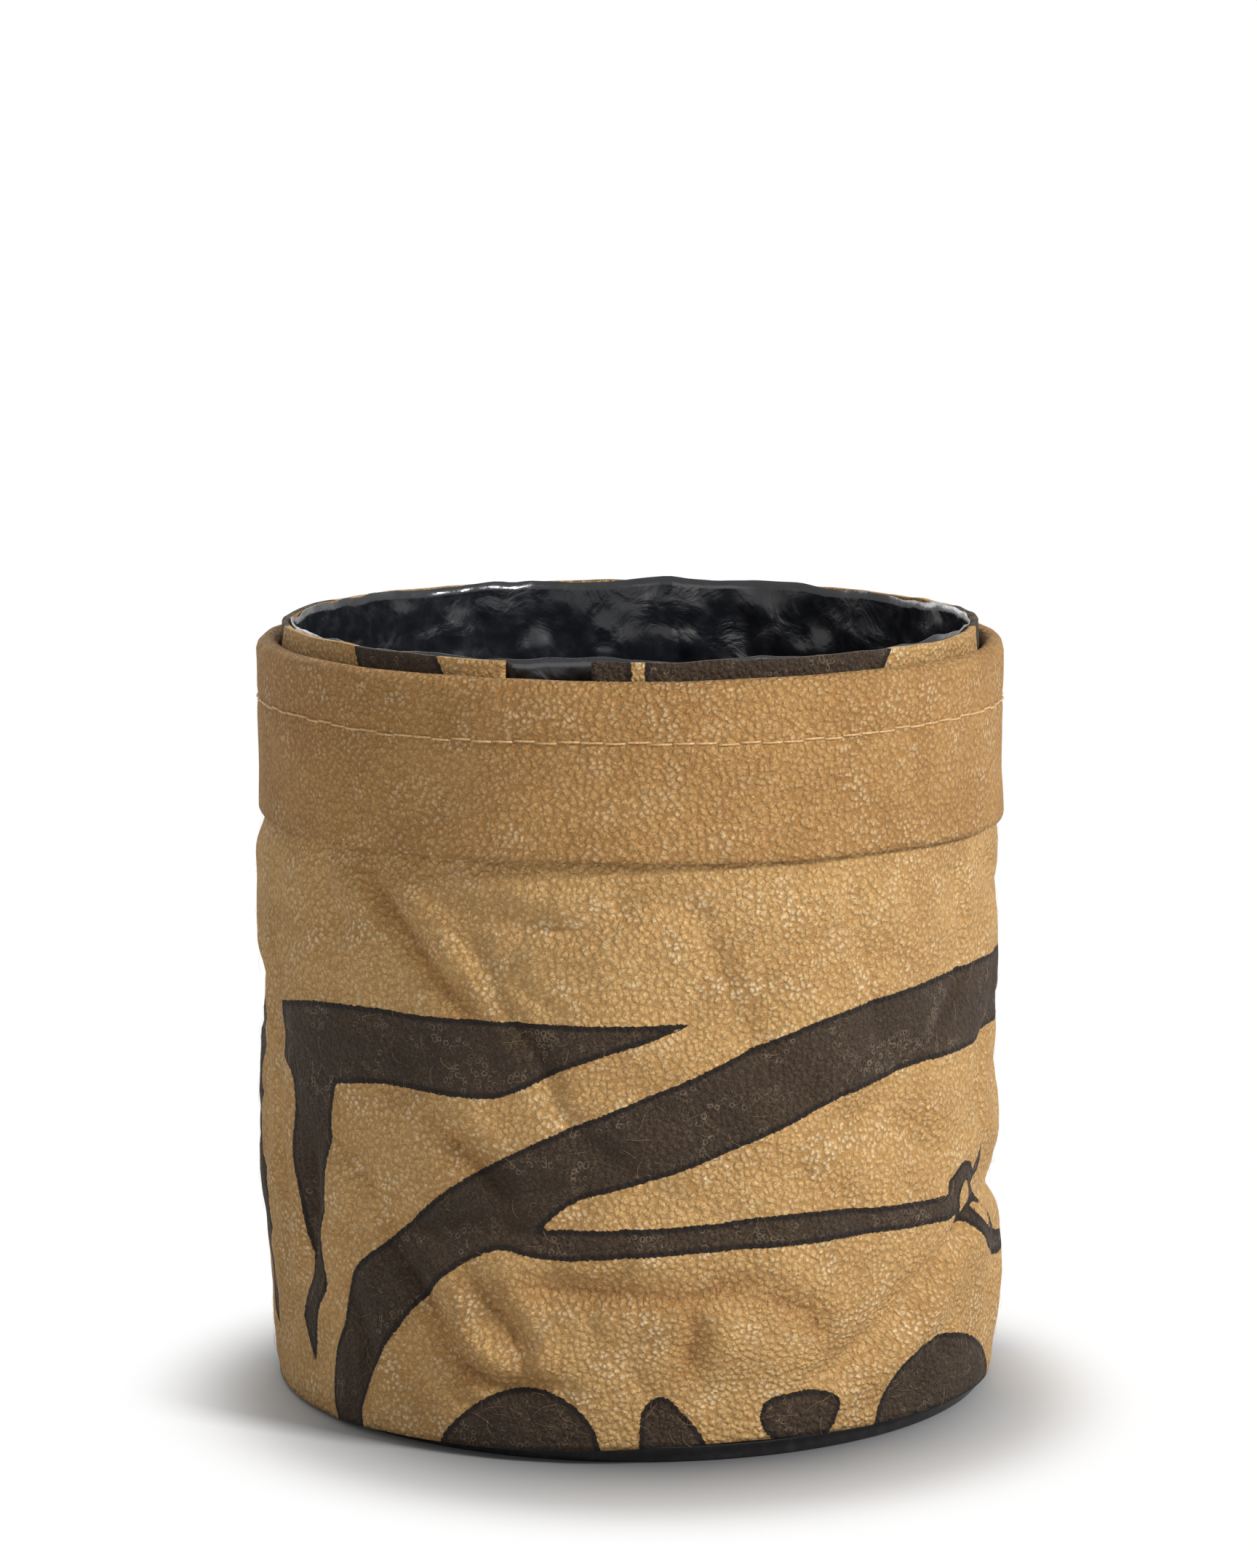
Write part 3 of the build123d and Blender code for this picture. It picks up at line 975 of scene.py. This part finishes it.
def make_liner():
    bottom, top = liner_low[2], liner_high[2]
    corner = LINER_CORNER
    floor = [(radius, bottom) for radius in (*range(0, 55, 6), 59)]
    turn = arc((LINER_R - corner, bottom + corner), corner, -90, 0, 6)
    first = bottom + corner
    rise = [(LINER_R, first + (top - first) * (n + 1) / LINER_ROWS) for n in range(LINER_ROWS)]
    film = spin_line(floor + turn + rise, 240)
    for vertex in film.verts:
        x, y, z = vertex.co / MM
        radius = hypot(x, y)
        if z > bottom + corner:
            pull = 1.5 * ridged(x, y, z * 0.55, 13, 31) + 0.7 * ridged(x, y, z, 5.5, 32)
            pull *= 0.35 + 0.65 * min(1.0, (top - z) / 14)
            share = (radius - min(pull, 2.6)) / radius
            vertex.co.x *= share
            vertex.co.y *= share
            if z > top - RAGGED:
                uneven = noise.noise(Vector((x / 17, y / 17, 8.0))) * 1.3
                uneven += noise.noise(Vector((x / 6, y / 6, 9.0))) * 0.5
                vertex.co.z += (uneven - 0.6) * (z - top + RAGGED) / RAGGED * MM
        elif radius < LINER_R - corner:
            fade = min(1.0, (LINER_R - corner - radius) / 12)
            vertex.co.z += 0.8 * ridged(x, y, 0, 15, 33) * fade * MM
    face_out(film)
    piece = as_piece(film, "film_liner_bag", [liner_film], "liner")
    thicken(piece, FILM)
    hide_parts("film_liner")


make_liner()


# %% [markdown]
# The dish
#
# The dish is one moulding, so one spun section makes it: floor, ring ribs, leaning wall and a
# rounded lip that catches the light.

# %% Dish
RIB_RADII = (54.0, 36.0, 18.0)
SHARP_EDGE = radians(32)  # edges that turn more than this are shaded as edges


def make_dish():
    low, high = saucer_low, saucer_high
    centre = ((low[0] + high[0]) / 2, (low[1] + high[1]) / 2)
    outside = (high[0] - low[0]) / 2
    top = high[2]
    floor_top, wall, draft, rib = 1.2, 1.3, 0.2, 0.9
    points = [(0, 0), (outside - draft - 1.2, 0)]
    points += arc((outside - draft - 0.6, 0.6), 0.6, -80, -5, 4)
    points += [(outside - 0.25, top * 0.5)]
    points += arc((outside - wall / 2, top - wall / 2), wall / 2, 0, 180, 8)
    points += [(outside - wall - draft * 0.6, floor_top + 0.9)]
    points += arc((outside - wall - draft - 0.8, floor_top + 0.7), 0.7, 0, -90, 3)
    for ring in RIB_RADII:
        points += [(ring + rib + 0.5, floor_top)]
        points += arc((ring, top - rib * 0.7), rib * 0.7, 10, 170, 4)
        points += [(ring - rib - 0.5, floor_top)]
    points += [(0, floor_top)]
    dish = spin_line(points, 192)
    bmesh.ops.translate(dish, vec=Vector((centre[0], centre[1], 0)) * MM, verts=dish.verts)
    bmesh.ops.recalc_face_normals(dish, faces=dish.faces)
    piece = as_piece(dish, "moulded_dish", [dish_plastic], "saucer")
    piece.data.set_sharp_from_angle(angle=SHARP_EDGE)
    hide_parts("saucer")


make_dish()


# %% [markdown]
# Thread
#
# A stitch is a short run of thread on the face of the cloth that dives into it at both ends. One
# stitch is extruded from a six-sided circle along a bent line, and copies of it are turned into
# place. It has few faces, because there are hundreds. The rows follow the slumped face of the
# cloth.

# %% One stitch
def bent_rod(name, path, radius, sides):
    """A rod along points in millimetres, extruded ring by ring and closed at both ends."""
    places = []
    for index, point in enumerate(path):
        ahead = path[min(index + 1, len(path) - 1)] - path[max(index - 1, 0)]
        turned = ahead.to_track_quat("Z", "Y").to_matrix().to_4x4()
        places.append(Matrix.Translation(point * MM) @ turned)
    rod = bmesh.new()
    bmesh.ops.create_circle(rod, segments=sides, radius=radius * MM, matrix=places[0])
    ring = rod.edges[:]
    for before, after in zip(places, places[1:]):
        grown = bmesh.ops.extrude_edge_only(rod, edges=ring)["geom"]
        verts = [item for item in grown if isinstance(item, bmesh.types.BMVert)]
        bmesh.ops.transform(rod, matrix=after @ before.inverted(), verts=verts)
        edges = [item for item in grown if isinstance(item, bmesh.types.BMEdge)]
        ring = [edge for edge in edges if all(vert in verts for vert in edge.verts)]
    bmesh.ops.holes_fill(rod, edges=rod.edges, sides=sides)
    bmesh.ops.recalc_face_normals(rod, faces=rod.faces)
    mesh = bpy.data.meshes.new(name)
    rod.to_mesh(mesh)
    rod.free()
    return mesh


STITCH_RUN = 4.2
STITCH_SHAPE = (
    # share of the run, height above the cloth
    (-0.5, -0.5), (-0.45, -0.05), (-0.2, 0.16), (0.2, 0.16), (0.45, -0.05), (0.5, -0.5),
)
stitch_path = [Vector((STITCH_RUN * share, 0, height)) for share, height in STITCH_SHAPE]
one_stitch = bent_rod("stitch", stitch_path, THREAD_R, 6)


def put_copy(shape, mesh, middle, run, out, length=1.0):
    """Add a copy of a mesh with its X along run, its Z along out and its middle at a point."""
    side = out.cross(run)
    turned = Matrix((run * length, side, out)).transposed().to_4x4()
    copy = mesh.copy()
    copy.transform(Matrix.Translation(middle * MM) @ turned)
    shape.from_mesh(copy)
    bpy.data.meshes.remove(copy)


def out_at(along):
    """Unit vectors outwards and round the bag at a distance round it."""
    turn = along / WALL_R
    return Vector((sin(turn), -cos(turn), 0)), Vector((cos(turn), sin(turn), 0))


# %% Rows of stitches
BEDDED = 0.05  # how deep a stitch lies in the cloth's inner face
ROW_U = SEAM_U - 4.5  # the upright rows, this far in from the panel's outer cut edge
RIM_ROW_HEIGHTS = (122.7, 127.1, 138.5, 144.6, 148.2)  # clear of the row round the rim


def face_at(along, up):
    """Radius of the outer face that a stitch lies on."""
    spot = np.array([along]), np.array([up])
    if up > BAND_BOTTOM:
        return BAND_R + float(band_wave(*spot)[0])
    return float(wall_radius(*spot)[0])


def thread_piece(shape, name, node):
    piece = as_piece(shape, name, [thread], "bag")
    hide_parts(node)


def make_rim_thread():
    shape = bmesh.new()
    for index in range(RIM_STITCHES):
        along = SEAM_U + (index + 0.5) * RIM_STITCH
        up = RIM_THREAD_Z + 0.18 * sin(index * 2.4) + 0.25 * sin(index * 0.37)
        out, run = out_at(along)
        lift = Vector((0, 0, up))
        middle = out * face_at(along, up) + lift
        put_copy(shape, one_stitch, middle, run, out, RIM_STITCH / STITCH_PITCH)
        if (FACING_START - along) % ROUND > FACING_GAP:
            behind = out * (FACING_R - FELT - BEDDED) + lift
            put_copy(shape, one_stitch, behind, -run, -out, 0.9 * (FACING_R - FELT) / WALL_R)
    thread_piece(shape, "rim_thread", "rim_stitches")


def make_upright_thread(name, node, rows):
    """Upright stitches at the side seam. rows are (height, radius behind the cloth)."""
    shape = bmesh.new()
    out, _ = out_at(ROW_U)
    upright = Vector((0, 0, 1))
    for height, behind in rows:
        lift = upright * height
        put_copy(shape, one_stitch, out * face_at(ROW_U, height) + lift, upright, out)
        put_copy(shape, one_stitch, out * behind + lift, upright, -out)
    thread_piece(shape, name, node)


def make_base_thread():
    shape = bmesh.new()
    inner = base_high[0] - FELT
    count = round(2 * pi * inner / STITCH_PITCH)
    for index in range(count):
        along = index * ROUND / count
        out, run = out_at(along)
        face = min(inner, face_at(along, BASE_THREAD_Z) - 2 * FELT - PLY_GAP)
        middle = out * (face - BEDDED) + Vector((0, 0, BASE_THREAD_Z))
        put_copy(shape, one_stitch, middle, run, -out, 0.9)
    thread_piece(shape, "base_thread", "base_stitches")


TWO_PLIES = 2 * FELT + PLY_GAP
side_heights = np.arange(seam_low[2] + STITCH_PITCH / 2, seam_high[2], STITCH_PITCH)
side_rows = [(height, face_at(ROW_U, height) - TWO_PLIES) for height in side_heights]
rim_rows = [
    (height, FACING_R - FELT if height > facing_low[2] + 2 else BAND_R - TWO_PLIES)
    for height in RIM_ROW_HEIGHTS
]
make_rim_thread()
make_upright_thread("side_seam_thread", "side_seam_stitches", side_rows)
make_upright_thread("rim_seam_thread", "rim_seam_stitches", rim_rows)
make_base_thread()


# %% [markdown]
# Loose fibres
#
# Felt sheds. Fine pale fibres lie on its face and curl off it, most of all along the cut foot,
# where they break up the outline. A dozen three-sided hairs, each with its own wander, are copied
# at random.

# %% Loose fibres
HAIRS = 12  # different hairs, of which all are copies
HAIR_R = 0.017
HAIR_LINKS = 6  # short straight lines in a hair
LINK = 0.7  # length of one, in mm
LOWEST = 7.0  # a hair's start above the floor, so that its end clears it
FIBRES = 1400


def fibre_height(rng, number):
    """A random height on the wall. One hair in nine is near the foot."""
    return rng.uniform(LOWEST, BAND_BOTTOM - 4) if number % 9 else rng.uniform(LOWEST, 10.0)


def make_fibres():
    rng = random.Random(7)
    hairs = []
    for number in range(HAIRS):
        heading, bend = rng.uniform(0, 2 * pi), rng.uniform(-0.25, 0.25)
        path = [Vector((0, 0, -0.1))]
        for link in range(HAIR_LINKS):
            heading += bend + rng.uniform(-0.2, 0.2)
            rise = 0.22 * sin(pi * (link + 1) / 4)
            path.append(path[-1] + Vector((cos(heading), sin(heading), rise)) * LINK)
        hairs.append(bent_rod(f"hair_{number}", path, HAIR_R, 3))
    along = [rng.uniform(-ROUND / 2, ROUND / 2) for _ in range(FIBRES)]
    up = [fibre_height(rng, number) for number in range(FIBRES)]
    radius = wall_radius(np.array(along), np.array(up))
    shape = bmesh.new()
    for round_bag, height, face in zip(along, up, radius):
        out, run = out_at(round_bag)
        run = (run + Vector((0, 0, rng.uniform(-1, 1)))).normalized()
        lift = Vector((0, 0, height))
        put_copy(shape, rng.choice(hairs), out * face + lift, run, out, rng.uniform(0.6, 1.5))
    as_piece(shape, "loose_fibres", [thread], "bag")


make_fibres()


# %% [markdown]
# Floor, light and camera
#
# The bag stands on plain white paper with a painted shadow: darker paint near the bag deepens its
# soft shadow.
# Further out the camera sees the paper as pure white, like the sky, so no line shows where they
# meet. The sky gives a soft even light. One lamp from the front right, above, models the felt, as
# a softbox would, and two weak ones fill in the front and the back. The camera looks slightly
# down with a long lens.

# %% Stage
SHADOW_MIDDLE = (0.004, -0.020, 0)  # metres, from here on
SHADE_NEAR, SHADE_FAR = 0.050, 0.103  # where the painted shadow on the paper is darkest and where it ends
WHITE_START, WHITE_FULL = 0.077, 0.110  # where the camera starts to see white, and sees only white
SKY_LIGHT = 0.39
LAMPS_AIM = Vector((0, 0, 0.07))  # half the bag's height
WHITE = (1, 1, 1, 1)


def make_floor():
    shape = bmesh.new()
    bmesh.ops.create_circle(shape, cap_ends=True, segments=96, radius=4.0)
    mesh = bpy.data.meshes.new("floor")
    shape.to_mesh(mesh)
    shape.free()
    floor = bpy.data.objects.new("floor", mesh)
    bpy.context.scene.collection.objects.link(floor)
    material, tree = new_material("white_floor_with_painted_shadow")
    place = add(tree, "ShaderNodeTexCoord", output="Object")
    sockets = {0: place, 1: SHADOW_MIDDLE}
    away = add(tree, "ShaderNodeVectorMath", sockets, "Value", operation="DISTANCE")
    shade = add(tree, "ShaderNodeMapRange", {0: away, 1: SHADE_NEAR, 2: SHADE_FAR})
    # painted shadow: the paper's colour runs from dark grey near the bag to near white further out
    sockets = {0: shade, 6: linear("#606060"), 7: linear("#F2F2F2")}
    paper = add(tree, "ShaderNodeMix", sockets, 2, data_type="RGBA")
    lit = add(tree, "ShaderNodeBsdfDiffuse", {"Color": paper})
    white = add(tree, "ShaderNodeEmission", {"Color": WHITE, "Strength": 1.0})
    seen = add(tree, "ShaderNodeLightPath", output="Is Camera Ray")
    sockets = {0: away, 1: WHITE_START, 2: WHITE_FULL}
    far = add(tree, "ShaderNodeMapRange", sockets, interpolation_type="SMOOTHSTEP")
    share = add(tree, "ShaderNodeMath", {0: far, 1: seen}, operation="MULTIPLY")
    both = add(tree, "ShaderNodeMixShader", {0: share, 1: lit, 2: white})
    add(tree, "ShaderNodeOutputMaterial", {"Surface": both})
    mesh.materials.append(material)


def make_world():
    world = bpy.data.worlds.new("soft_sky")
    bpy.context.scene.world = world
    world.use_nodes = True
    tree = world.node_tree
    tree.nodes.clear()
    seen = add(tree, "ShaderNodeLightPath", output="Is Camera Ray")
    for ray in ("Is Glossy Ray", "Is Transmission Ray"):
        other = add(tree, "ShaderNodeLightPath", output=ray)
        seen = add(tree, "ShaderNodeMath", {0: seen, 1: other}, operation="MAXIMUM")
    sky = add(tree, "ShaderNodeBackground", {"Color": WHITE, "Strength": SKY_LIGHT})
    white = add(tree, "ShaderNodeBackground", {"Color": WHITE, "Strength": 1.0})
    mixed = add(tree, "ShaderNodeMixShader", {0: seen, 1: sky, 2: white})
    add(tree, "ShaderNodeOutputWorld", {"Surface": mixed})


def add_lamp(name, place, size, power):
    """A square area lamp that points at the bag. Metres and watts."""
    data = bpy.data.lights.new(name, "AREA")
    data.size = size
    data.energy = power
    lamp = bpy.data.objects.new(name, data)
    bpy.context.scene.collection.objects.link(lamp)
    lamp.location = place
    lamp.rotation_euler = (LAMPS_AIM - Vector(place)).to_track_quat("-Z", "Y").to_euler()


make_floor()
make_world()
add_lamp("key_softbox", (1.20, -0.75, 0.95), 0.32, 30)
add_lamp("front_fill", (-0.7, -1.3, 0.5), 1.0, 4)
add_lamp("back_fill", (-0.5, 1.2, 0.9), 1.0, 9)

# %% Camera
CAMERA_PLACE = (-0.0004, -0.9836, 0.2751)
CAMERA_TILT = 8.836  # degrees below the horizon
FOCAL_RATIO = 6676 / 2156  # focal length over the frame's longer side
SENSOR = 36.0

camera_data = bpy.data.cameras.new("camera")
camera_data.sensor_fit = "AUTO"
camera_data.sensor_width = SENSOR
camera_data.lens = FOCAL_RATIO * SENSOR
camera_data.clip_start = 0.05
camera = bpy.data.objects.new("camera", camera_data)
bpy.context.scene.collection.objects.link(camera)
camera.location = CAMERA_PLACE
camera.rotation_euler = (radians(90 - CAMERA_TILT), 0, 0)
bpy.context.scene.camera = camera
bpy.context.scene.view_settings.view_transform = "Standard"
